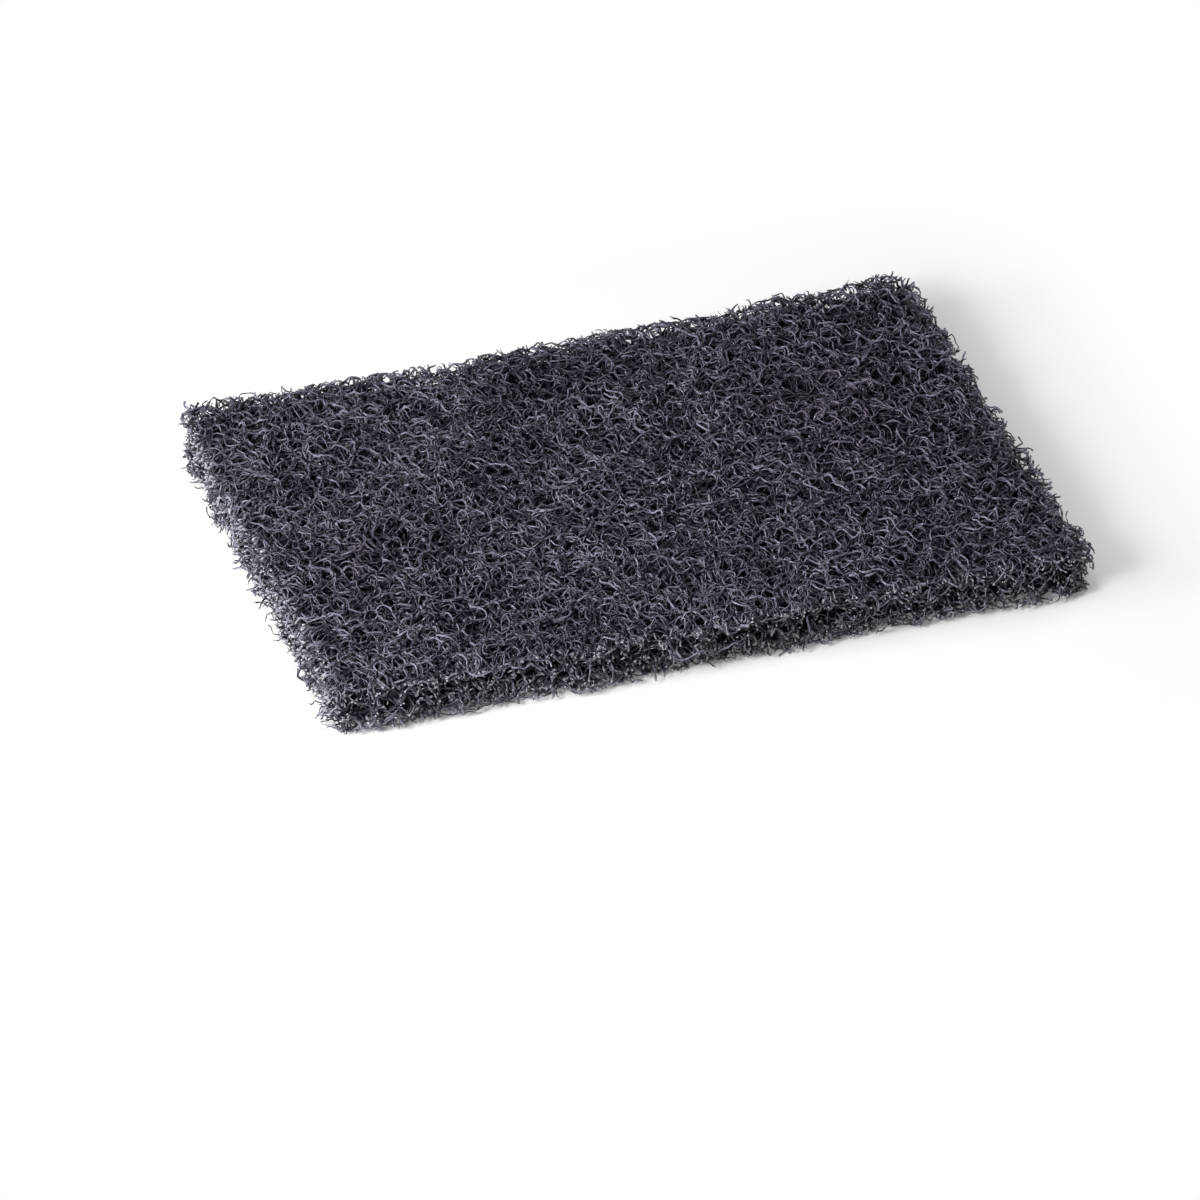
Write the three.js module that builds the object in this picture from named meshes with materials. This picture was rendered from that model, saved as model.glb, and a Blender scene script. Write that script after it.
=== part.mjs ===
// A heavy-duty scouring pad: one slab of coarse, crimped fibres bonded into an open web.
// Both faces show strands that cross at random with pores between them, and the four sides are ragged where
// the pad was cut from a wider web. Millimetres, +Z up, length along X, origin under the middle of the pad,
// on the surface it lies on.
import * as THREE from 'three';
import { mergeVertices } from 'three/addons/utils/BufferGeometryUtils.js';

// The pad over the tips of its fibres
const PAD_LENGTH = 152;
const PAD_WIDTH = 94;
const PAD_THICKNESS = 12;

// The web's grain: one mesh vertex for each place where a strand or a pore can lie
const WEB_PITCH = 3;

// The strands that lie on each face, in an outer layer and one just under it
const STRAND_LENGTH = 42;
const STRAND_SPACING = 18;
const STRAND_REACH = 1.4;
const CRIMP_LENGTH = 17;
const CRIMP_HEIGHT = 3.2;
const LAYER_STEP = 1.1;

// How far the surface falls away in the pores, which are at least this deep and at most this deep
const PORE_LEAST_DEPTH = 2;
const PORE_DEPTH = 2.8;

// The upper face swells and sags a little, in waves along and across the pad
const LOFT_SAG = 0.6;
const SWELL_LENGTH = 130;
const SWELL_WIDTH = 128;

// The edges between the faces and the cut sides droop, and the four corners are a little cut off
const EDGE_DROOP = 1.1;
const CORNER_CUT = 0.9;

// The cut sides: slow waves along the cut, and single hollows between the cut fibre ends
const CUT_WAVE_LENGTH = 37;
const CUT_WAVE_DEPTH = 0.8;
const CUT_HOLLOW_DEPTH = 2;

// A vertex shifts by at most this share of the grain, so that neighbours never pass each other
const SHIFT_SHARE = 0.3;

// Points on a strand for each grain of the web that it crosses
const STRAND_POINTS = 3;

const WEB_SEED = 20260;
const FULL_TURN = Math.PI * 2;
const FIBRE_COLOUR = 0x3b3b45;

// Repeatable random numbers from 0 to 1.
function randomFrom(seed) {
  let state = seed;
  return () => {
    state = (state + 0x6d2b79f5) | 0;
    let t = Math.imul(state ^ (state >>> 15), 1 | state);
    t = (t + Math.imul(t ^ (t >>> 7), 61 | t)) ^ t;
    return ((t ^ (t >>> 14)) >>> 0) / 2 ** 32;
  };
}

// Points along one crimped strand that crosses a face at a random place, in a random direction.
function crimpedStrand(random) {
  const middle = new THREE.Vector2((random() - 0.5) * PAD_LENGTH, (random() - 0.5) * PAD_WIDTH);
  const heading = random() * FULL_TURN;
  const phase = random() * FULL_TURN;
  const steps = Math.ceil((STRAND_LENGTH / WEB_PITCH) * STRAND_POINTS);
  return Array.from({ length: steps + 1 }, (_, i) => {
    const along = (i / steps - 0.5) * STRAND_LENGTH;
    const aside = CRIMP_HEIGHT * Math.sin((along / CRIMP_LENGTH) * FULL_TURN + phase);
    return new THREE.Vector2(along, aside).rotateAround(new THREE.Vector2(), heading).add(middle);
  });
}

// The points of all the strands in one layer of one face.
function strandLayer(random) {
  const count = Math.round((PAD_LENGTH * PAD_WIDTH) / STRAND_SPACING ** 2);
  return Array.from({ length: count }, () => crimpedStrand(random)).flat();
}

// The nearest point of a layer's strands that lies within reach of a place on the face, or null.
function strandAt(place, layer) {
  let nearest = null;
  let least = STRAND_REACH;
  for (const point of layer) {
    const gap = point.distanceTo(place);
    if (gap < least) {
      least = gap;
      nearest = point;
    }
  }
  return nearest;
}

// One face's relief: a vertex over a strand slides onto it and stays high, any other sinks into a pore.
function reliefOf(place, layers, random) {
  const mostShift = SHIFT_SHARE * WEB_PITCH;
  for (const [level, layer] of layers.entries()) {
    const strandPoint = strandAt(place, layer);
    if (strandPoint) {
      const shift = strandPoint.clone().sub(place).clampLength(0, mostShift);
      return { shift, depth: level * LAYER_STEP };
    }
  }
  const turn = random() * FULL_TURN;
  const shift = new THREE.Vector2(Math.cos(turn), Math.sin(turn)).multiplyScalar(random() * mostShift);
  return { shift, depth: THREE.MathUtils.lerp(PORE_LEAST_DEPTH, PORE_DEPTH, random()) };
}

// How far the upper face lies below the pad's full height: the loft is highest in a few soft swells.
function loftSag(x, y) {
  const swell = Math.cos((x / SWELL_LENGTH) * FULL_TURN) * Math.cos((y / SWELL_WIDTH) * FULL_TURN);
  return (LOFT_SAG * (1 - swell)) / 2;
}

// How far a cut side lies inside the pad's full size at a place along it. Each side's wave has its own start.
function cutInset(along, start, random) {
  const wave = Math.sin((along / CUT_WAVE_LENGTH) * FULL_TURN + start);
  return (CUT_WAVE_DEPTH * (1 - wave)) / 2 + CUT_HOLLOW_DEPTH * random();
}

// Folds each quad of the mesh along the diagonal whose ends sank the least, so that strands stay whole.
function foldAlongStrands(geometry, sunk) {
  const corners = geometry.index.array;
  for (let i = 0; i < corners.length; i += 6) {
    const [a, b, d, , c] = corners.subarray(i, i + 6);
    if (sunk[a] + sunk[c] < sunk[b] + sunk[d]) corners.set([a, b, c, a, c, d], i);
  }
}

// The whole pad: a box with a vertex at each grain of the web, whose vertices settle onto strands,
// sink into pores and draw back from the cut.
function padGeometry() {
  const random = randomFrom(WEB_SEED);
  const grains = (size) => Math.max(2, Math.round(size / WEB_PITCH));
  const box = new THREE.BoxGeometry(
    PAD_LENGTH, PAD_WIDTH, PAD_THICKNESS,
    grains(PAD_LENGTH), grains(PAD_WIDTH), grains(PAD_THICKNESS),
  );
  box.deleteAttribute('normal');
  box.deleteAttribute('uv');
  const pad = mergeVertices(box);

  const upperLayers = [strandLayer(random), strandLayer(random)];
  const lowerLayers = [strandLayer(random), strandLayer(random)];
  const half = new THREE.Vector3(PAD_LENGTH, PAD_WIDTH, PAD_THICKNESS).multiplyScalar(0.5);
  const sideOf = (value, limit) => (Math.abs(value) > limit - 1e-6 ? Math.sign(value) : 0);
  const wobble = () => (random() * 2 - 1) * SHIFT_SHARE * WEB_PITCH;
  const vertex = new THREE.Vector3();
  const nominal = new THREE.Vector3();
  const { position } = pad.attributes;
  const sunk = [];

  for (let i = 0; i < position.count; i++) {
    nominal.fromBufferAttribute(position, i);
    vertex.copy(nominal);
    const { x, y, z } = nominal;
    const end = sideOf(x, half.x);
    const flank = sideOf(y, half.y);
    const face = sideOf(z, half.z);
    const onCut = end !== 0 || flank !== 0;

    if (end) vertex.x -= end * cutInset(y, end, random);
    if (flank) vertex.y -= flank * cutInset(x, 2 * flank, random);
    if (end && flank) {
      vertex.x -= end * CORNER_CUT;
      vertex.y -= flank * CORNER_CUT;
    }
    if (onCut && face) vertex.z -= face * EDGE_DROOP;
    if (onCut && !face) vertex.z += wobble();
    if (face && !onCut) {
      const layers = face > 0 ? upperLayers : lowerLayers;
      const { shift, depth } = reliefOf(new THREE.Vector2(x, y), layers, random);
      vertex.x += shift.x;
      vertex.y += shift.y;
      vertex.z -= face * depth;
    }
    if (face > 0) vertex.z -= loftSag(x, y);
    sunk[i] = face && !onCut ? Math.abs(z - vertex.z) : nominal.distanceTo(vertex);
    position.setXYZ(i, vertex.x, vertex.y, vertex.z + half.z);
  }
  foldAlongStrands(pad, sunk);
  pad.computeVertexNormals();
  return pad;
}

// The bonded web is one piece, with nothing that comes apart.
const fibreMaterial = new THREE.MeshStandardMaterial({
  color: FIBRE_COLOUR,
  roughness: 0.85,
  metalness: 0,
  flatShading: true,
});
const scouringPad = new THREE.Mesh(padGeometry(), fibreMaterial);
scouringPad.name = 'scouring_pad';

const part = new THREE.Group();
part.add(scouringPad);

export default part;
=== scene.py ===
"""A heavy-duty scouring pad: an open web of crimped, resin-coated fibres, cut to a rectangle.

Every fibre is a closed tube of its own. The web is laid in layers, and each layer is one mesh. Lengths are in
metres and angles inside the web in radians, unless a name or a docstring says otherwise.
"""

import logging
import math
from dataclasses import dataclass, field
from enum import Enum

import bpy
import numpy as np
from mathutils import Matrix, Vector


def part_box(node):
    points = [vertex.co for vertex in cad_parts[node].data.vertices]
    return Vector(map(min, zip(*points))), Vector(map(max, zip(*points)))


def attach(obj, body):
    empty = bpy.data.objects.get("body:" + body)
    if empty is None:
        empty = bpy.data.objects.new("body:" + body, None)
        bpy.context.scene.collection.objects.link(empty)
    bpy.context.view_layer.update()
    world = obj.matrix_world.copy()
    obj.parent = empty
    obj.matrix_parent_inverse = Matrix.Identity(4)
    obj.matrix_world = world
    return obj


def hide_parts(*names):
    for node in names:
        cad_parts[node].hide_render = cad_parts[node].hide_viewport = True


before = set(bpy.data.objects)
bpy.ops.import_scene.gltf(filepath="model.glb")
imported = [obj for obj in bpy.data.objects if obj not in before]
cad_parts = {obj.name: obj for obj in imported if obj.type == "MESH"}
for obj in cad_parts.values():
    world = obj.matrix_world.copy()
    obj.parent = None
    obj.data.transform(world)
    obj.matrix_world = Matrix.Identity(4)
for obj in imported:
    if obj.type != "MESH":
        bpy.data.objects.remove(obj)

LOG = logging.getLogger("scouring_pad")

MM = 0.001
FULL_TURN = 2.0 * math.pi
PAD_NODE = "scouring_pad"
PAD_BODY = "root"
WEB_SEED = 4107
CM3_PER_M3 = 1e6

Colour = tuple[float, float, float, float]
Span = tuple[float, float]

BLACK: Colour = (0.0, 0.0, 0.0, 1.0)
WHITE: Colour = (1.0, 1.0, 1.0, 1.0)


class Against(Enum):
    """The face of the pad that a layer of fibres is pressed against."""

    UPPER = "upper"
    LOWER = "lower"
    NEITHER = "neither"


def mix_colours(
    tree: bpy.types.NodeTree,
    share: bpy.types.NodeSocket,
    first: Colour | bpy.types.NodeSocket,
    second: Colour | bpy.types.NodeSocket,
    blend: str = "MIX",
) -> bpy.types.NodeSocket:
    """Adds a colour mix to a node tree.

    Args:
        tree: The node tree.
        share: The socket that gives the share of the second colour.
        first: A colour, or a socket that gives one.
        second: A colour, or a socket that gives one.
        blend: How the second colour goes over the first.

    Returns:
        The socket that gives the mixed colour.
    """
    node = tree.nodes.new("ShaderNodeMix")
    node.data_type = "RGBA"
    node.blend_type = blend
    tree.links.new(share, node.inputs["Factor"])
    colour_inputs = [socket for socket in node.inputs if socket.type == "RGBA"]
    for socket, value in zip(colour_inputs, (first, second)):
        if isinstance(value, bpy.types.NodeSocket):
            tree.links.new(value, socket)
        else:
            socket.default_value = value
    return next(socket for socket in node.outputs if socket.type == "RGBA")


def map_range(
    tree: bpy.types.NodeTree,
    value: bpy.types.NodeSocket,
    source: Span = (0.0, 1.0),
    target: Span = (0.0, 1.0),
) -> bpy.types.NodeSocket:
    """Adds a map from one span of numbers to another to a node tree, held at both ends.

    Args:
        tree: The node tree.
        value: The socket that gives the number.
        source: The span that the number comes from.
        target: The span that it goes to.

    Returns:
        The socket that gives the mapped number.
    """
    node = tree.nodes.new("ShaderNodeMapRange")
    for label, end in zip(("From Min", "From Max", "To Min", "To Max"), (*source, *target)):
        node.inputs[label].default_value = end
    tree.links.new(value, node.inputs["Value"])
    return node.outputs["Result"]


def direction(bearing: float, elevation: float) -> Vector:
    """Turns two angles into a direction away from the pad.

    Args:
        bearing: Degrees round from the pad's front side, towards its right end.
        elevation: Degrees above the floor.

    Returns:
        The direction, of length 1.
    """
    turn = math.radians(bearing)
    rise = math.radians(elevation)
    return Vector((math.sin(turn) * math.cos(rise), -math.cos(turn) * math.cos(rise), math.sin(rise)))


@dataclass(frozen=True)
class Bulge:
    """A stretch of the cut that stands out from the rectangle, or is hollow where the number is negative."""

    x: float
    y: float
    reach: float
    stands_out: float

    def at(self, x: np.ndarray, y: np.ndarray) -> np.ndarray:
        """How far the cut stands out near each place."""
        return self.stands_out * np.exp(-((x - self.x) ** 2 + (y - self.y) ** 2) / self.reach**2)


@dataclass
class PadForm:
    """The pad's outer form: its cut outline, its swelling faces and the pores that open in them.

    Attributes:
        length: The pad's size along X.
        width: The pad's size along Y.
        thickness: The pad's size along Z.
        corner_radius: The radius of the four corners.
        face_swell: How far the upper face swells and sags.
        face_sag: How far its middle height lies below the thickness.
        swell_waves: The shortest and the longest of its waves.
        edge_wander: How far the cut wanders in and out.
        edge_waves: The shortest and the longest of its waves.
        edge_reach: How far the cut lies outside the rectangle on average.
        edge_upright: How much the wander changes with height, compared with along the cut.
        bulges: The stretches of the cut that stand out or are hollow.
        edge_droop: How far the faces draw back at the cut.
        edge_fall: How far in from the cut they do so.
        pore_radius: The least and the greatest radius of a pore in a face.
        pore_spacing: The spacing of those pores.
        pore_push: How far a pore pushes fibres aside, as a share of its radius.
        pore_heart: The share of a pore's radius inside which the push eases off.
        side_pore_radius: The least and the greatest radius of a pore in the cut sides.
        side_pore_spacing: The spacing of those pores.
        side_pore_depth: How deep in from the cut they part the fibres.
    """

    length: float
    width: float
    thickness: float
    corner_radius: float = 3.5 * MM
    face_swell: float = 0.6 * MM
    face_sag: float = 0.1 * MM
    swell_waves: Span = (3.0 * MM, 9.5 * MM)
    edge_wander: float = 0.9 * MM
    edge_waves: Span = (6 * MM, 24 * MM)
    edge_reach: float = 0.5 * MM
    edge_upright: float = 0.5
    bulges: tuple[Bulge, ...] = (
        Bulge(x=-24 * MM, y=47 * MM, reach=20 * MM, stands_out=-1.5 * MM),
        Bulge(x=60 * MM, y=47 * MM, reach=22 * MM, stands_out=1.5 * MM),
        Bulge(x=76 * MM, y=-47 * MM, reach=8 * MM, stands_out=1.0 * MM),
    )
    edge_droop: float = 1.0 * MM
    edge_fall: float = 2.0 * MM
    pore_radius: Span = (0.6 * MM, 1.6 * MM)
    pore_spacing: float = 3.4 * MM
    pore_push: float = 0.55
    pore_heart: float = 0.3
    side_pore_radius: Span = (0.9 * MM, 1.9 * MM)
    side_pore_spacing: float = 3.3 * MM
    side_pore_depth: float = 4.0 * MM
    swells: np.ndarray = field(init=False)
    wanders: np.ndarray = field(init=False)
    pores: np.ndarray = field(init=False)
    side_pores: np.ndarray = field(init=False)

    WAVE_COUNT = 9

    def lay_out(self, rng: np.random.Generator) -> None:
        """Draws the swells, the wander of the cut and the pores.

        Args:
            rng: The source of random numbers.
        """
        self.swells = self._draw_waves(rng, self.swell_waves)
        self.wanders = self._draw_waves(rng, self.edge_waves)
        count = round(self.length * self.width / self.pore_spacing**2)
        half = np.array([self.length, self.width]) / 2.0
        places = rng.uniform(-half, half, (count, 2))
        self.pores = np.column_stack([places, rng.uniform(*self.pore_radius, count)])
        self.side_pores = self._draw_side_pores(rng)

    def _draw_side_pores(self, rng: np.random.Generator) -> np.ndarray:
        """Draws the pores that open in the cut sides.

        Args:
            rng: The source of random numbers.

        Returns:
            One row for each pore, with its middle and its radius.
        """
        girth = 2.0 * (self.length + self.width)
        count = round(girth * self.thickness / self.side_pore_spacing**2)
        along = rng.uniform(0.0, girth, count)
        corners = np.array([[-1, -1], [1, -1], [1, 1], [-1, 1], [-1, -1]]) * (self.length, self.width) / 2.0
        reached = np.cumsum([0.0, self.length, self.width, self.length, self.width])
        return np.column_stack(
            [
                np.interp(along, reached, corners[:, 0]),
                np.interp(along, reached, corners[:, 1]),
                rng.uniform(0.0, self.thickness, count),
                rng.uniform(*self.side_pore_radius, count),
            ]
        )

    def _draw_waves(self, rng: np.random.Generator, lengths: Span) -> np.ndarray:
        """Draws plane waves as rows of wave numbers along X, Y and Z, and a phase.

        Args:
            rng: The source of random numbers.
            lengths: The shortest and the longest wave.

        Returns:
            One row for each wave.
        """
        heading = rng.normal(size=(self.WAVE_COUNT, 3))
        heading /= np.linalg.norm(heading, axis=1, keepdims=True)
        number = FULL_TURN / rng.uniform(*lengths, (self.WAVE_COUNT, 1))
        phase = rng.uniform(0.0, FULL_TURN, (self.WAVE_COUNT, 1))
        return np.hstack([number * heading, phase])

    @staticmethod
    def _add_waves(waves: np.ndarray, x: np.ndarray, y: np.ndarray, z: np.ndarray | float) -> np.ndarray:
        """Adds up plane waves at each place, to about -1 to 1."""
        total = sum(np.cos(kx * x + ky * y + kz * z + phase) for kx, ky, kz, phase in waves)
        return total / math.sqrt(2.0 * len(waves))

    def top_at(self, x: np.ndarray, y: np.ndarray) -> np.ndarray:
        """The height of the upper face at each place."""
        swell = self.face_swell * self._add_waves(self.swells, x, y, self.thickness)
        return self.thickness - self.face_sag + swell - self._droop(x, y)

    def base_at(self, x: np.ndarray, y: np.ndarray) -> np.ndarray:
        """The height of the underside at each place."""
        return self._droop(x, y)

    def _droop(self, x: np.ndarray, y: np.ndarray) -> np.ndarray:
        """How far the faces draw back where they come near the cut sides."""
        return self.edge_droop * np.exp(np.minimum(self._past_sides(x, y), 0.0) / self.edge_fall)

    def _past_sides(self, x: np.ndarray, y: np.ndarray) -> np.ndarray:
        """How far each place lies outside a rectangle with rounded corners, negative inside it."""
        inset_x = np.abs(x) - (self.length / 2.0 - self.corner_radius)
        inset_y = np.abs(y) - (self.width / 2.0 - self.corner_radius)
        outer = np.hypot(np.maximum(inset_x, 0.0), np.maximum(inset_y, 0.0))
        return outer + np.minimum(np.maximum(inset_x, inset_y), 0.0) - self.corner_radius

    def past_cut(self, x: np.ndarray, y: np.ndarray, z: np.ndarray) -> np.ndarray:
        """How far each place lies outside the cut sides, which wander, and negative inside them."""
        wander = self.edge_wander * self._add_waves(self.wanders, x, y, self.edge_upright * z)
        bulge = sum(bulge.at(x, y) for bulge in self.bulges)
        return self._past_sides(x, y) - self.edge_reach + wander - bulge

    def part_pores(self, x: np.ndarray, y: np.ndarray) -> tuple[np.ndarray, np.ndarray]:
        """Pushes fibres aside from the middle of each pore.

        Args:
            x: Places along the length.
            y: Places along the width.

        Returns:
            The places after the pores have opened.
        """
        for pore_x, pore_y, radius in self.pores:
            off_x = x - pore_x
            off_y = y - pore_y
            away = np.hypot(off_x, off_y) / radius
            push = self.pore_push * np.exp(-(away**2)) / np.maximum(away, self.pore_heart)
            x = x + off_x * push
            y = y + off_y * push
        return x, y

    def part_side_pores(self, paths: np.ndarray) -> np.ndarray:
        """Pushes fibres aside from the middle of each pore in the cut sides.

        Args:
            paths: The fibres' points.

        Returns:
            The points after the pores have opened.
        """
        near = self.past_cut(*np.moveaxis(paths, -1, 0)) > -self.side_pore_depth
        places = paths[near]
        for *middle, radius in self.side_pores:
            off = places - middle
            away = np.linalg.norm(off, axis=-1, keepdims=True) / radius
            push = self.pore_push * np.exp(-(away**2)) / np.maximum(away, self.pore_heart)
            places = places + off * push
        parted = paths.copy()
        parted[near] = places
        return parted


@dataclass
class FibreRuns:
    """Fibres after the cut: the points of all of them in one array, one run of points for each fibre."""

    points: np.ndarray
    first: np.ndarray
    last: np.ndarray
    radius: np.ndarray
    tone: np.ndarray
    cut: np.ndarray

    SIDES = 3
    CELL_MARGIN = 0.25
    CAP_CELL = ((0.2, 0.2), (0.8, 0.2), (0.5, 0.8))

    def mesh(self, name: str) -> bpy.types.Mesh:
        """Makes one mesh of closed tubes, with the attributes and the map that the finish needs.

        Args:
            name: The mesh's name.

        Returns:
            The mesh.
        """
        corners = self._corners()
        tubes, caps = self._faces()
        loops = np.concatenate([tubes.ravel(), caps.ravel()])
        starts = np.concatenate(
            [np.arange(len(tubes)) * tubes.shape[1], tubes.size + np.arange(len(caps)) * caps.shape[1]]
        )
        made = bpy.data.meshes.new(name)
        made.vertices.add(len(corners))
        made.vertices.foreach_set("co", corners.ravel().astype(np.float32))
        made.loops.add(len(loops))
        made.loops.foreach_set("vertex_index", loops.astype(np.int32))
        made.polygons.add(len(starts))
        made.polygons.foreach_set("loop_start", starts.astype(np.int32))
        made.update(calc_edges=True)
        made.shade_smooth()
        for label, values in (("fibre_tone", self.tone), ("cut_end", self.cut)):
            layer = made.attributes.new(label, "FLOAT", "POINT")
            layer.data.foreach_set("value", np.repeat(values, self.SIDES).astype(np.float32))
        flat_map = made.uv_layers.new(name="OFBake")
        flat_map.data.foreach_set("uv", self._flat_map().ravel().astype(np.float32))
        return made

    def _corners(self) -> np.ndarray:
        """The rings of corners round each point, in one array of places."""
        ahead = np.minimum(np.arange(len(self.points)) + 1, self._run_end())
        behind = np.maximum(np.arange(len(self.points)) - 1, self._run_start())
        along = self.points[ahead] - self.points[behind]
        along /= np.linalg.norm(along, axis=1, keepdims=True)
        aside = np.cross(along, (0.0, 0.0, 1.0))
        aside /= np.linalg.norm(aside, axis=1, keepdims=True)
        lift = np.cross(aside, along)
        turn = np.arange(self.SIDES) * FULL_TURN / self.SIDES + math.pi / 2.0
        spoke = (
            np.cos(turn)[None, :, None] * aside[:, None, :]
            + np.sin(turn)[None, :, None] * lift[:, None, :]
        )
        rings = self.points[:, None, :] + self.radius[:, None, None] * spoke
        return rings.reshape(-1, 3)

    def _run_start(self) -> np.ndarray:
        """For each point, the index of its run's first point."""
        return np.repeat(self.first, self.last - self.first + 1)

    def _run_end(self) -> np.ndarray:
        """For each point, the index of its run's last point."""
        return np.repeat(self.last, self.last - self.first + 1)

    def _segments(self) -> np.ndarray:
        """The indices of the points that have another point of their run after them."""
        inner = np.ones(len(self.points), dtype=bool)
        inner[self.last] = False
        return np.flatnonzero(inner)

    def _faces(self) -> tuple[np.ndarray, np.ndarray]:
        """The tube walls, four corners each, and the end caps, three corners each."""
        sides = np.arange(self.SIDES)
        here = self._segments()[:, None] * self.SIDES
        after = here + self.SIDES
        onward = (sides + 1) % self.SIDES
        tubes = np.stack([here + sides, after + sides, after + onward, here + onward], axis=-1)
        caps = np.concatenate(
            [self.first[:, None] * self.SIDES + sides, self.last[:, None] * self.SIDES + sides[::-1]]
        )
        return tubes.reshape(-1, 4), caps

    def _flat_map(self) -> np.ndarray:
        """Lays each stretch of tube and each cap in a cell of its own on a square grid.

        Returns:
            A place on the map for each corner of each face.
        """
        stretches = len(self._segments())
        cells = stretches + len(self.first) + len(self.last)
        columns = math.ceil(math.sqrt(cells))
        corner_of_cell = np.stack(np.divmod(np.arange(cells), columns)[::-1], axis=-1)
        strips = self.SIDES + 2.0 * self.CELL_MARGIN
        strip = (np.arange(self.SIDES) + self.CELL_MARGIN) / strips
        high = strip + 1.0 / strips
        near = np.zeros(self.SIDES)
        far = np.ones(self.SIDES)
        wall = np.stack(
            [
                np.stack([near, strip], axis=-1),
                np.stack([far, strip], axis=-1),
                np.stack([far, high], axis=-1),
                np.stack([near, high], axis=-1),
            ],
            axis=1,
        )
        cap = np.array(self.CAP_CELL)
        walls = corner_of_cell[:stretches, None, None, :] + wall[None]
        caps = corner_of_cell[stretches:, None, :] + cap[None]
        return np.concatenate([walls.reshape(-1, 2), caps.reshape(-1, 2)]) / columns


@dataclass
class FibreLayer:
    """One layer of the web, between two heights of the pad.

    Attributes:
        name: The name of the layer's object.
        low: The least middle height of a fibre.
        high: The greatest middle height of a fibre.
        density: The length of fibre in a volume, in metres per cubic centimetre.
        step: The length of one stretch of a fibre.
        against: The face that the layer lies against, whose pores part its fibres.
        rim: The layer is kept only this far in from the cut, where it is above 0.
        core: The layer is kept only deeper in than this, where it is above 0.
        fibre_length: The length of a fibre before the cut.
        fibre_radius: The radius of a usual fibre.
        radius_spread: How much the radius differs from fibre to fibre.
        lump: How much the coating's thickness differs along a fibre.
        crimp_wave: The shortest and the longest wave of the crimp.
        crimp_swing: The least and the greatest swing of the crimp to either side.
        slow_wave: The shortest and the longest wave of the slow bends.
        slow_swing: The swing of the slow bends to either side.
        lean: The least and the greatest angle that a fibre climbs or dives at.
        lean_wave: The shortest and the longest wave of its climbs and dives.
        bend: The height within which a fibre bends back where it meets a face.
        shy: How far inside the cut a fibre may end.
        stray: How much farther out fibres reach on average.
        longest_stray: How much farther out they reach at most.
        tone_limit: The palest tone of a fibre, from 0 to 1.
        tone_skew: The greater it is, the fewer fibres are pale.
        inner: Whether the layer is hidden inside the web.
        least_points: The fewest points that make a fibre.
        root: How deep in from the cut a fibre has to reach, so that it is held.
    """

    name: str
    low: float
    high: float
    density: float
    step: float
    against: Against
    rim: float = 0.0
    core: float = 0.0
    fibre_length: float = 24 * MM
    fibre_radius: float = 0.18 * MM
    radius_spread: float = 0.2
    lump: float = 0.25
    crimp_wave: Span = (5 * MM, 13 * MM)
    crimp_swing: Span = (0.4, 1.1)
    slow_wave: Span = (14 * MM, 40 * MM)
    slow_swing: float = 0.7
    lean: Span = (0.5, 1.4)
    lean_wave: Span = (4.5 * MM, 11 * MM)
    bend: float = 0.45 * MM
    shy: float = 0.45 * MM
    stray: float = 0.6 * MM
    longest_stray: float = 2.2 * MM
    tone_limit: float = 1.0
    tone_skew: float = 1.9
    inner: bool = False
    least_points: int = 2
    root: float = 0.5 * MM

    def build(self, form: PadForm, rng: np.random.Generator) -> bpy.types.Object:
        """Lays the fibres, cuts them to the pad's outline and makes their mesh.

        Args:
            form: The pad's outer form.
            rng: The source of random numbers.

        Returns:
            The layer's object, linked to the scene.
        """
        paths = self._lay(form, rng)
        if self.rim > 0.0 and not self.inner:
            paths = form.part_side_pores(paths)
        runs = self._cut(form, paths, rng)
        piece = bpy.data.objects.new(self.name, runs.mesh(self.name))
        bpy.context.scene.collection.objects.link(piece)
        return piece

    def dress(self, piece: bpy.types.Object, finish: "FibreFinish") -> None:
        """Gives the layer its finish and ties it to the pad.

        Args:
            piece: The layer's object.
            finish: The finish of its fibres.
        """
        piece.data.materials.append(finish.material())
        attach(piece, PAD_BODY)
        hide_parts(PAD_NODE)

    def _lay(self, form: PadForm, rng: np.random.Generator) -> np.ndarray:
        """Lays crimped fibres at random over the pad and a little beyond it.

        Args:
            form: The pad's outer form.
            rng: The source of random numbers.

        Returns:
            The fibres' points, by fibre and by point.
        """
        spill = self.fibre_length / 2.0
        reach = np.array([form.length / 2.0 + spill, form.width / 2.0 + spill])
        volume_cm3 = 4.0 * reach[0] * reach[1] * (self.high - self.low) * CM3_PER_M3
        count = round(self.density * volume_cm3 / self.fibre_length)
        along = np.arange(0.0, self.fibre_length, self.step)

        def each(low: float, high: float) -> np.ndarray:
            """Draws one number for each fibre."""
            return rng.uniform(low, high, (count, 1))

        heading = each(0.0, FULL_TURN)
        swing = each(*self.crimp_swing)
        sway = np.sin(FULL_TURN * along / each(*self.crimp_wave) + each(0.0, FULL_TURN))
        slow = np.sin(FULL_TURN * along / each(*self.slow_wave) + each(0.0, FULL_TURN))
        angle = heading + swing * sway + self.slow_swing * slow
        lean = each(*self.lean) * np.sin(FULL_TURN * along / each(*self.lean_wave) + each(0.0, FULL_TURN))
        x = np.cumsum(np.cos(lean) * np.cos(angle), axis=1) * self.step
        y = np.cumsum(np.cos(lean) * np.sin(angle), axis=1) * self.step
        z = np.cumsum(np.sin(lean), axis=1) * self.step
        middle = len(along) // 2
        x += each(-reach[0], reach[0]) - x[:, middle : middle + 1]
        y += each(-reach[1], reach[1]) - y[:, middle : middle + 1]
        z += each(self.low, self.high) - z.mean(axis=1, keepdims=True)
        if self.against is not Against.NEITHER:
            x, y = form.part_pores(x, y)
        top = form.top_at(x, y) - self.fibre_radius
        base = form.base_at(x, y) + self.fibre_radius
        z = top + self.bend - np.hypot(top - z, self.bend)
        z = base - self.bend + np.hypot(z - base, self.bend)
        return np.stack([x, y, z], axis=-1)

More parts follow.
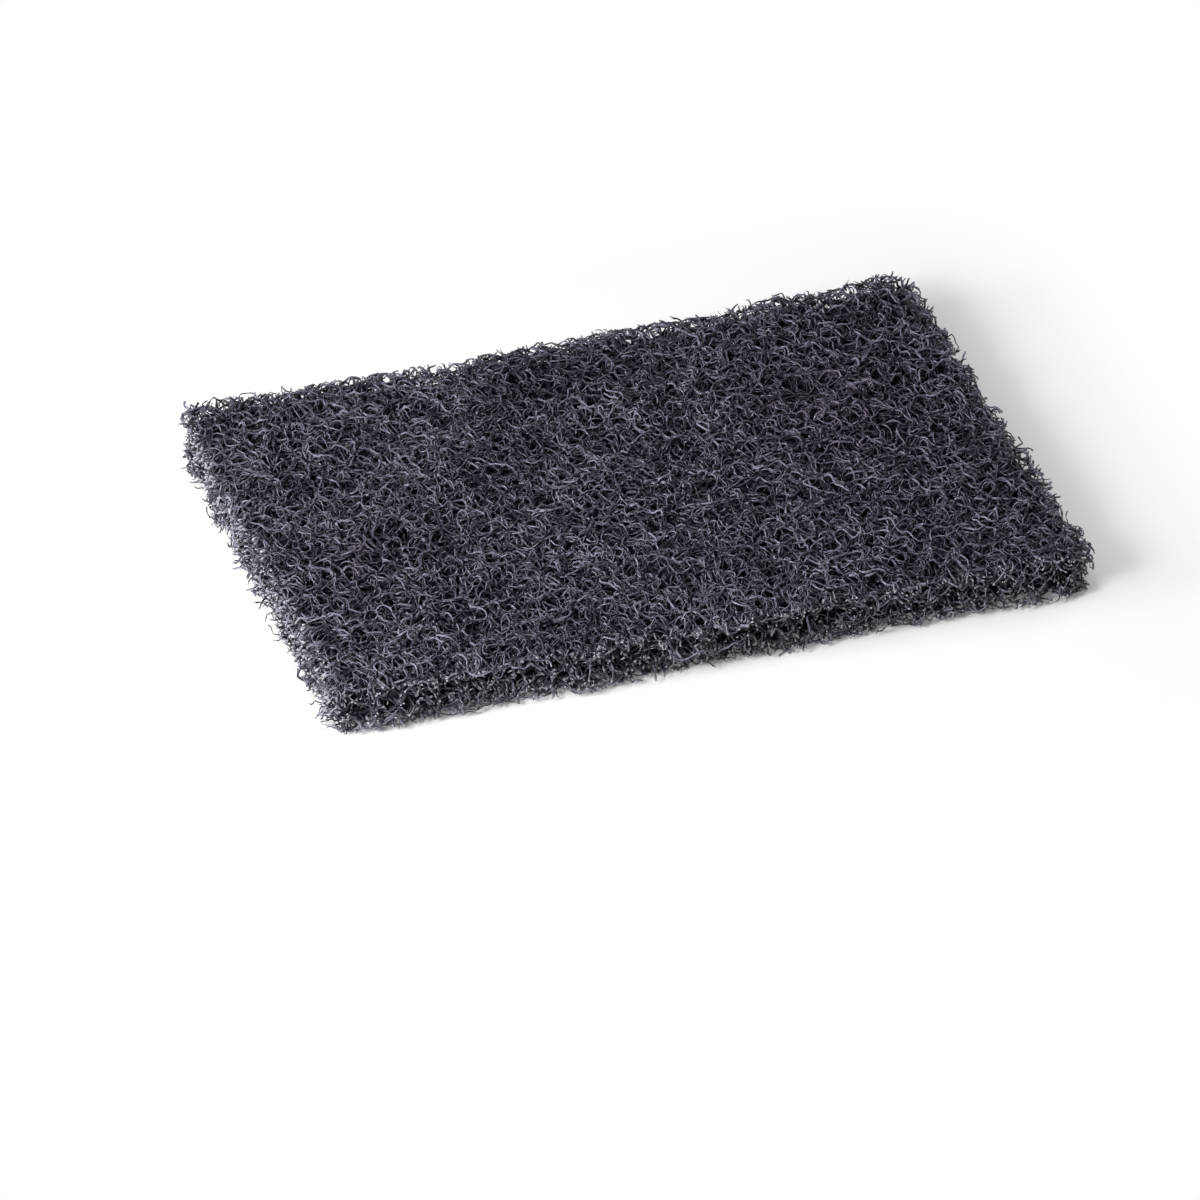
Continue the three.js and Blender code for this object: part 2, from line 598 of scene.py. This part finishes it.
    def _cut(self, form: PadForm, paths: np.ndarray, rng: np.random.Generator) -> FibreRuns:
        """Cuts the fibres to the outline, each a little inside it or outside it.

        Args:
            form: The pad's outer form.
            paths: The fibres' points, by fibre and by point.
            rng: The source of random numbers.

        Returns:
            The runs of points that are left.
        """
        count, length = paths.shape[:2]
        allowance = np.minimum(rng.exponential(self.stray, (count, 1)), self.longest_stray) - self.shy
        past = form.past_cut(*np.moveaxis(paths, -1, 0))
        within = past < allowance
        kept = within.copy()
        if self.rim > 0.0:
            kept &= past > -self.rim
        if self.core > 0.0:
            kept &= past < -self.core
        edges = np.diff(np.pad(kept, ((0, 0), (1, 1))).astype(np.int8), axis=1)
        begin = np.flatnonzero((edges == 1)[:, :-1])
        end = np.flatnonzero((edges == -1)[:, 1:])
        counts = end - begin + 1
        spans = np.stack([begin, end + 1], axis=-1).ravel()
        innermost = np.minimum.reduceat(np.append(past.ravel(), 0.0), spans)[::2]
        stays = (counts >= self.least_points) & (innermost < -self.root)
        begin = begin[stays]
        end = end[stays]
        counts = counts[stays]
        last = np.cumsum(counts) - 1
        first = last - counts + 1
        chosen = np.repeat(begin - first, counts) + np.arange(counts.sum())
        beyond = np.pad(~within, ((0, 0), (1, 1)))
        cut = np.zeros(len(chosen))
        cut[first] = beyond[:, :-2].ravel()[begin]
        cut[last] = beyond[:, 2:].ravel()[end]
        fibre = np.repeat(np.arange(len(counts)), counts)
        thick = self.fibre_radius * np.exp(rng.normal(0.0, self.radius_spread, len(counts)))
        lump = 1.0 + self.lump * rng.uniform(-1.0, 1.0, len(chosen))
        tone = self.tone_limit * rng.uniform(0.0, 1.0, len(counts)) ** self.tone_skew
        return FibreRuns(
            points=paths.reshape(-1, 3)[chosen],
            first=first,
            last=last,
            radius=thick[fibre] * lump,
            tone=tone[fibre],
            cut=cut,
        )


@dataclass
class InnerLayer(FibreLayer):
    """A layer inside the web, of coarse strands that keep light from coming through the pad; their near-black
    tone is painted shade for the web's deep gaps.
    """

    against: Against = Against.NEITHER
    fibre_radius: float = 0.5 * MM
    lean: Span = (0.1, 0.4)
    # Painted shade: the low tone limit keeps these strands near black, so that the gaps between the upper
    # fibres read as shadow.
    tone_limit: float = 0.1
    inner: bool = True


@dataclass(frozen=True)
class AbrasiveGrain:
    """The abrasive grain in the fibres' resin, as a node group: fine specks, and a broad drift of tint."""

    name: str = "abrasive_grain"
    grain_scale: float = 1700.0
    grain_detail: float = 2.0
    grain_roughness: float = 0.6
    grain_span: Span = (0.34, 0.66)
    tint_scale: float = 26.0
    tint_detail: float = 3.0
    tint_drift: float = 26.6

    def group(self) -> bpy.types.NodeTree:
        """The node group, made on its first use.

        Returns:
            A group with the scales of grain and tint going in, and a speck and a tint coming out.
        """
        made = bpy.data.node_groups.get(self.name)
        if made:
            return made
        made = bpy.data.node_groups.new(self.name, "ShaderNodeTree")
        scale = made.interface.new_socket("Grain Scale", in_out="INPUT", socket_type="NodeSocketFloat")
        scale.default_value = self.grain_scale
        broad = made.interface.new_socket("Tint Scale", in_out="INPUT", socket_type="NodeSocketFloat")
        broad.default_value = self.tint_scale
        for label in ("Speck", "Tint"):
            made.interface.new_socket(label, in_out="OUTPUT", socket_type="NodeSocketFloat")
        enter = made.nodes.new("NodeGroupInput")
        leave = made.nodes.new("NodeGroupOutput")
        place = made.nodes.new("ShaderNodeTexCoord")
        grain = made.nodes.new("ShaderNodeTexNoise")
        grain.inputs["Detail"].default_value = self.grain_detail
        grain.inputs["Roughness"].default_value = self.grain_roughness
        tint = made.nodes.new("ShaderNodeTexNoise")
        tint.noise_dimensions = "4D"
        tint.inputs["W"].default_value = self.tint_drift
        tint.inputs["Detail"].default_value = self.tint_detail
        made.links.new(place.outputs["Object"], grain.inputs["Vector"])
        made.links.new(place.outputs["Object"], tint.inputs["Vector"])
        made.links.new(enter.outputs["Grain Scale"], grain.inputs["Scale"])
        made.links.new(enter.outputs["Tint Scale"], tint.inputs["Scale"])
        speck = map_range(made, grain.outputs["Fac"], self.grain_span)
        made.links.new(speck, leave.inputs["Speck"])
        made.links.new(tint.outputs["Fac"], leave.inputs["Tint"])
        return made


@dataclass(frozen=True)
class FibreFinish:
    """Resin-coated fibre: bluish charcoal, a little purple in places, paler where it was cut."""

    name: str
    deep: Colour = (0.012, 0.0105, 0.019, 1.0)
    pale: Colour = (0.220, 0.212, 0.285, 1.0)
    warm: Colour = (0.95, 0.80, 0.86, 1.0)
    cut_end: Colour = (0.42, 0.395, 0.45, 1.0)
    roughness: Span = (0.26, 0.48)
    specular: float = 0.6
    speck_share: float = 0.45
    shade_span: Span = (0.17, 1.25)
    tint_span: Span = (0.42, 0.66)
    grain: AbrasiveGrain = AbrasiveGrain()

    def material(self) -> bpy.types.Material:
        """The material, made on its first use.

        Returns:
            The finish's material.
        """
        made = bpy.data.materials.get(self.name)
        if made:
            return made
        made = bpy.data.materials.new(self.name)
        made.use_nodes = True
        tree = made.node_tree
        nodes = tree.nodes
        links = tree.links
        shader = nodes["Principled BSDF"]
        shader.inputs["Specular IOR Level"].default_value = self.specular
        grain = nodes.new("ShaderNodeGroup")
        grain.node_tree = self.grain.group()
        tone = self._attribute(nodes, "fibre_tone")
        ends = self._attribute(nodes, "cut_end")

        speckled = nodes.new("ShaderNodeMath")
        speckled.operation = "MULTIPLY_ADD"
        speckled.inputs[1].default_value = self.speck_share
        links.new(grain.outputs["Speck"], speckled.inputs[0])
        links.new(tone.outputs["Fac"], speckled.inputs[2])
        shade = map_range(tree, speckled.outputs[0], self.shade_span)
        body = mix_colours(tree, shade, self.deep, self.pale)
        hue = map_range(tree, grain.outputs["Tint"], self.tint_span)
        tinted = mix_colours(tree, hue, body, self.warm, blend="MULTIPLY")
        ended = mix_colours(tree, ends.outputs["Fac"], tinted, self.cut_end)
        links.new(ended, shader.inputs["Base Color"])
        rough = map_range(tree, grain.outputs["Speck"], target=self.roughness)
        links.new(rough, shader.inputs["Roughness"])
        return made

    @staticmethod
    def _attribute(nodes: bpy.types.Nodes, label: str) -> bpy.types.Node:
        """Adds a node that reads one of the fibres' attributes."""
        node = nodes.new("ShaderNodeAttribute")
        node.attribute_name = label
        return node


@dataclass(frozen=True)
class Softbox:
    """A square soft lamp that faces the pad."""

    name: str
    bearing: float
    elevation: float
    distance: float
    size: float
    watts: float

    def build(self, target: Vector) -> bpy.types.Object:
        """Makes the lamp.

        Args:
            target: The point that it faces.

        Returns:
            The lamp's object.
        """
        lamp = bpy.data.lights.new(self.name, "AREA")
        lamp.size = self.size
        lamp.energy = self.watts
        made = bpy.data.objects.new(self.name, lamp)
        toward = direction(self.bearing, self.elevation)
        made.location = target + toward * self.distance
        made.rotation_euler = toward.to_track_quat("Z", "Y").to_euler()
        bpy.context.scene.collection.objects.link(made)
        return made


@dataclass
class Studio:
    """A white floor, soft lamps and a long lens, set at the photograph's viewing angle."""

    pad_length: float
    pad_width: float
    azimuth: float = -21.6
    elevation: float = 37.8
    roll: float = 3.0
    distance: float = 1.74
    focal_px: float = 9000.0
    image_px: float = 1200.0
    aim_right: float = -5.5 * MM
    aim_up: float = -14.8 * MM
    sensor_mm: float = 36.0
    far_clip: float = 20.0
    floor_size: float = 6.0
    floor_colour: Colour = (0.97, 0.97, 0.97, 1.0)
    floor_bounce: Colour = (0.12, 0.12, 0.12, 1.0)
    floor_glow: Colour = (0.15, 0.15, 0.15, 1.0)
    floor_fade: float = 40 * MM
    floor_roughness: float = 0.9
    world_light: float = 0.05
    horizon_heights: Span = (0.04, 0.09)
    lamps: tuple[Softbox, ...] = (
        Softbox("key_softbox", bearing=-57.0, elevation=34.0, distance=0.5, size=0.14, watts=2.1),
        Softbox("side_softbox", bearing=-88.0, elevation=16.0, distance=0.6, size=0.18, watts=3.3),
        Softbox("top_softbox", bearing=-30.0, elevation=75.0, distance=1.2, size=0.5, watts=2.6),
        Softbox("rim_softbox", bearing=115.0, elevation=30.0, distance=1.1, size=0.8, watts=2.3),
    )

    def build(self) -> None:
        """Makes the camera, the floor, the lamps and the world."""
        self._camera()
        self._floor()
        self._world()
        for lamp in self.lamps:
            lamp.build(Vector((0.0, 0.0, 0.0)))
        bpy.context.scene.view_settings.view_transform = "Standard"

    def _camera(self) -> None:
        """Places the camera and makes it the scene's own."""
        back = direction(self.azimuth, self.elevation)
        azimuth = math.radians(self.azimuth)
        level_right = Vector((math.cos(azimuth), math.sin(azimuth), 0.0))
        level_up = back.cross(level_right)
        roll = math.radians(self.roll)
        right = level_right * math.cos(roll) + level_up * math.sin(roll)
        up = back.cross(right)
        lens = bpy.data.cameras.new("camera")
        lens.sensor_width = self.sensor_mm
        lens.lens = self.focal_px / self.image_px * self.sensor_mm
        lens.clip_end = self.far_clip
        camera = bpy.data.objects.new("camera", lens)
        place = right * self.aim_right + up * self.aim_up + back * self.distance
        turn = Matrix((right, up, back)).transposed().to_4x4()
        camera.matrix_world = Matrix.Translation(place) @ turn
        bpy.context.scene.collection.objects.link(camera)
        bpy.context.scene.camera = camera

    def _floor(self) -> None:
        """Makes the pale floor, which keeps the pad's shadow."""
        half = self.floor_size / 2.0
        mesh = bpy.data.meshes.new("floor")
        mesh.from_pydata(
            [(-half, -half, 0.0), (half, -half, 0.0), (half, half, 0.0), (-half, half, 0.0)],
            [],
            [(0, 1, 2, 3)],
        )
        floor = bpy.data.objects.new("floor", mesh)
        material = bpy.data.materials.new("pale_floor")
        material.use_nodes = True
        tree = material.node_tree
        shader = tree.nodes["Principled BSDF"]
        shader.inputs["Roughness"].default_value = self.floor_roughness
        shader.inputs["Specular IOR Level"].default_value = 0.0
        shader.inputs["Emission Strength"].default_value = 1.0
        seen = self._seen(tree)
        clear = self._clear_of_pad(tree)
        for label, unseen, near, far in (
            ("Base Color", self.floor_bounce, self.floor_colour, BLACK),
            ("Emission Color", BLACK, self.floor_glow, WHITE),
        ):
            shown = mix_colours(tree, clear, near, far)
            tree.links.new(mix_colours(tree, seen, unseen, shown), shader.inputs[label])
        mesh.materials.append(material)
        bpy.context.scene.collection.objects.link(floor)

    def _world(self) -> None:
        """Makes a dim surround that turns white towards the horizon, where a low view shows it."""
        world = bpy.data.worlds.new("surround")
        world.use_nodes = True
        tree = world.node_tree
        background = tree.nodes["Background"]
        background.inputs["Color"].default_value = WHITE
        place = tree.nodes.new("ShaderNodeTexCoord")
        height = tree.nodes.new("ShaderNodeSeparateXYZ")
        tree.links.new(place.outputs["Generated"], height.inputs[0])
        level = map_range(tree, height.outputs["Z"], self.horizon_heights, (1.0, self.world_light))
        tree.links.new(level, background.inputs["Strength"])
        bpy.context.scene.world = world

    def _clear_of_pad(self, tree: bpy.types.NodeTree) -> bpy.types.NodeSocket:
        """Adds nodes that tell how far a place on the floor is clear of the pad and its shadow.

        Args:
            tree: The node tree that they go into.

        Returns:
            A socket that gives 0 under the pad and 1 where the floor is plain white.
        """
        half_pad = (self.pad_length / 2.0, self.pad_width / 2.0, 0.0)
        place = tree.nodes.new("ShaderNodeTexCoord").outputs["Object"]
        for operation, operand in (("ABSOLUTE", None), ("SUBTRACT", half_pad), ("MAXIMUM", (0.0, 0.0, 0.0))):
            step = tree.nodes.new("ShaderNodeVectorMath")
            step.operation = operation
            tree.links.new(place, step.inputs[0])
            if operand:
                step.inputs[1].default_value = operand
            place = step.outputs["Vector"]
        away = tree.nodes.new("ShaderNodeVectorMath")
        away.operation = "LENGTH"
        tree.links.new(place, away.inputs[0])
        return map_range(tree, away.outputs["Value"], (0.0, self.floor_fade))

    @staticmethod
    def _seen(tree: bpy.types.NodeTree) -> bpy.types.NodeSocket:
        """Adds nodes that tell where a surface is seen, straight or in a reflection or through glass.

        Args:
            tree: The node tree that they go into.

        Returns:
            A socket that gives 1 where it is seen, and 0 where it only gives light.
        """
        path = tree.nodes.new("ShaderNodeLightPath")
        total = path.outputs["Is Camera Ray"]
        for kind in ("Is Glossy Ray", "Is Transmission Ray"):
            either = tree.nodes.new("ShaderNodeMath")
            either.operation = "MAXIMUM"
            tree.links.new(total, either.inputs[0])
            tree.links.new(path.outputs[kind], either.inputs[1])
            total = either.outputs[0]
        return total


def web_layers(form: PadForm) -> list[FibreLayer]:
    """The layers of the web, from the upper face down.

    Args:
        form: The pad's outer form.

    Returns:
        The layers in the order in which they are laid.
    """
    top = form.thickness
    return [
        FibreLayer(
            "upper_face_fibres",
            low=top - 1.0 * MM,
            high=top - 0.25 * MM,
            density=2.6,
            step=0.86 * MM,
            against=Against.UPPER,
        ),
        FibreLayer(
            "upper_mat_fibres",
            low=top - 1.8 * MM,
            high=top - 1.0 * MM,
            density=2.1,
            step=0.8 * MM,
            against=Against.UPPER,
        ),
        FibreLayer(
            "upper_bed_fibres",
            low=top - 2.8 * MM,
            high=top - 1.8 * MM,
            density=1.4,
            step=0.9 * MM,
            against=Against.UPPER,
        ),
        FibreLayer(
            "cut_edge_fibres",
            low=0.6 * MM,
            high=top - 2.0 * MM,
            density=1.7,
            step=0.8 * MM,
            against=Against.NEITHER,
            rim=3.0 * MM,
        ),
        InnerLayer(
            "inner_upper_fibres",
            low=top - 4.4 * MM,
            high=top - 2.9 * MM,
            density=1.9,
            step=3.5 * MM,
            core=1.5 * MM,
        ),
        InnerLayer(
            "inner_edge_fibres",
            low=3.0 * MM,
            high=top - 4.0 * MM,
            density=1.5,
            step=2.5 * MM,
            rim=5.5 * MM,
            core=2.4 * MM,
        ),
        InnerLayer(
            "inner_lower_fibres",
            low=1.9 * MM,
            high=3.4 * MM,
            density=1.9,
            step=3.5 * MM,
            core=1.5 * MM,
        ),
        FibreLayer(
            "underside_fibres",
            low=0.25 * MM,
            high=1.7 * MM,
            density=1.6,
            step=1.5 * MM,
            against=Against.LOWER,
        ),
    ]


def main() -> None:
    """Builds the pad and the studio round it."""
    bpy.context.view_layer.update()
    low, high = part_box(PAD_NODE)
    rng = np.random.default_rng(WEB_SEED)
    form = PadForm(*(float(b - a) for a, b in zip(low, high)))
    form.lay_out(rng)
    finish = FibreFinish("coated_fibre")
    # Painted shade: the inner layers get a rough finish with little gloss, which keeps the gaps in the web
    # dark.
    painted_shade_finish = FibreFinish("inner_fibre_painted_shade", roughness=(0.6, 0.8), specular=0.12)
    total = 0
    for layer in web_layers(form):
        piece = layer.build(form, rng)
        layer.dress(piece, painted_shade_finish if layer.inner else finish)
        piece.data.calc_loop_triangles()
        triangles = len(piece.data.loop_triangles)
        total += triangles
        LOG.info("%s: %d triangles", piece.name, triangles)
    LOG.info("in all: %d triangles", total)
    Studio(form.length, form.width).build()


if __name__ == "__main__":
    logging.basicConfig(level=logging.INFO, format="%(message)s")
    main()
